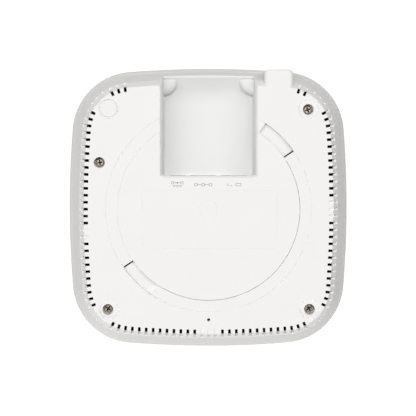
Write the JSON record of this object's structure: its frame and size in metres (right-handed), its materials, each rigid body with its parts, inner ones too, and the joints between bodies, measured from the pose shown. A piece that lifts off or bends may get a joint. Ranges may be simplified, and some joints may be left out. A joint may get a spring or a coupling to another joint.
{
  "type": "ceiling access point",
  "caption": "Soft-square white ceiling access point, seen as its back: cable pocket with ports, bayonet recesses, edge vents and a domed front.",
  "frame": {"origin": "centre of the flat back face that lies against the ceiling bracket", "axes": "+Z out of the back towards the ceiling, +Y to the side where the cables leave, +X to the lock lug's side; the domed front faces -Z"},
  "size_m": [0.19, 0.19, 0.042],
  "materials": {
    "white_plastic": "fine matt spark-eroded white ABS/PC",
    "seal_film": "plain white seal disc",
    "black_plastic": "black moulded nylon",
    "switch_plastic": "ivory moulded plastic",
    "circuit_board": "green solder mask over glass-fibre laminate",
    "screw_steel": "nickel-plated steel, slightly brown",
    "tinned_steel": "tinned steel sheet",
    "brass": "plain brass",
    "gold_plate": "gold-plated contacts",
    "aluminium": "extruded, bead-blasted",
    "chip_epoxy": "black epoxy package",
    "thermal_pad": "soft grey silicone pad",
    "capacitor_sleeve": "dark shrink sleeve",
    "ferrite": "dark sintered ferrite",
    "light_guide": "milky clear polycarbonate",
    "cable_jacket": "thin black jacket"
  },
  "bodies": {
    "housing": {"rear_cover": "white_plastic", "front_cover": "white_plastic", "screw_seal": "seal_film", "main_board": "circuit_board", "heat_sink": "aluminium", "processor_chip": "chip_epoxy", "processor_thermal_pad": "thermal_pad", "memory_chip": "chip_epoxy", "memory_thermal_pad": "thermal_pad", "poe_transformer": "ferrite", "power_inductor": "ferrite", "lan_magnetics": "chip_epoxy", "capacitor_1": "capacitor_sleeve", "capacitor_2": "capacitor_sleeve", "lan_jack_shell": "tinned_steel", "lan_jack_insert": "black_plastic", "lan_jack_contacts": "gold_plate", "console_jack_shell": "tinned_steel", "console_jack_insert": "black_plastic", "console_jack_contacts": "gold_plate", "power_jack_body": "black_plastic", "power_jack_pin": "tinned_steel", "reset_switch_body": "black_plastic", "status_light": "light_guide", "light_pipe": "light_guide", "radio_shield_left": "tinned_steel", "radio_shield_right": "tinned_steel", "radio_chip_left": "chip_epoxy", "radio_chip_right": "chip_epoxy", "case_screw_top_right": "screw_steel", "thread_insert_top_right": "brass", "case_screw_bottom_left": "screw_steel", "thread_insert_bottom_left": "brass", "case_screw_bottom_right": "screw_steel", "thread_insert_bottom_right": "brass", "case_screw_left": "screw_steel", "thread_insert_left": "brass", "case_screw_sealed": "screw_steel", "thread_insert_sealed": "brass", "board_screw_1": "tinned_steel", "board_screw_2": "tinned_steel", "board_screw_3": "tinned_steel", "board_screw_4": "tinned_steel", "aerial_top_right": "brass", "aerial_lead_top_right": "cable_jacket", "aerial_top_left": "brass", "aerial_lead_top_left": "cable_jacket", "aerial_bottom_left": "brass", "aerial_lead_bottom_left": "cable_jacket", "aerial_bottom_right": "brass", "aerial_lead_bottom_right": "cable_jacket"},
    "reset_plunger": {"reset_plunger": "switch_plastic"}
  },
  "joints": [
    {"name": "reset_press", "type": "slide", "parent": "housing", "child": "reset_plunger", "axis": [0, 0, -1], "range_m": [0, 0.0003], "stiffness_N_per_m": 6000}
  ]
}
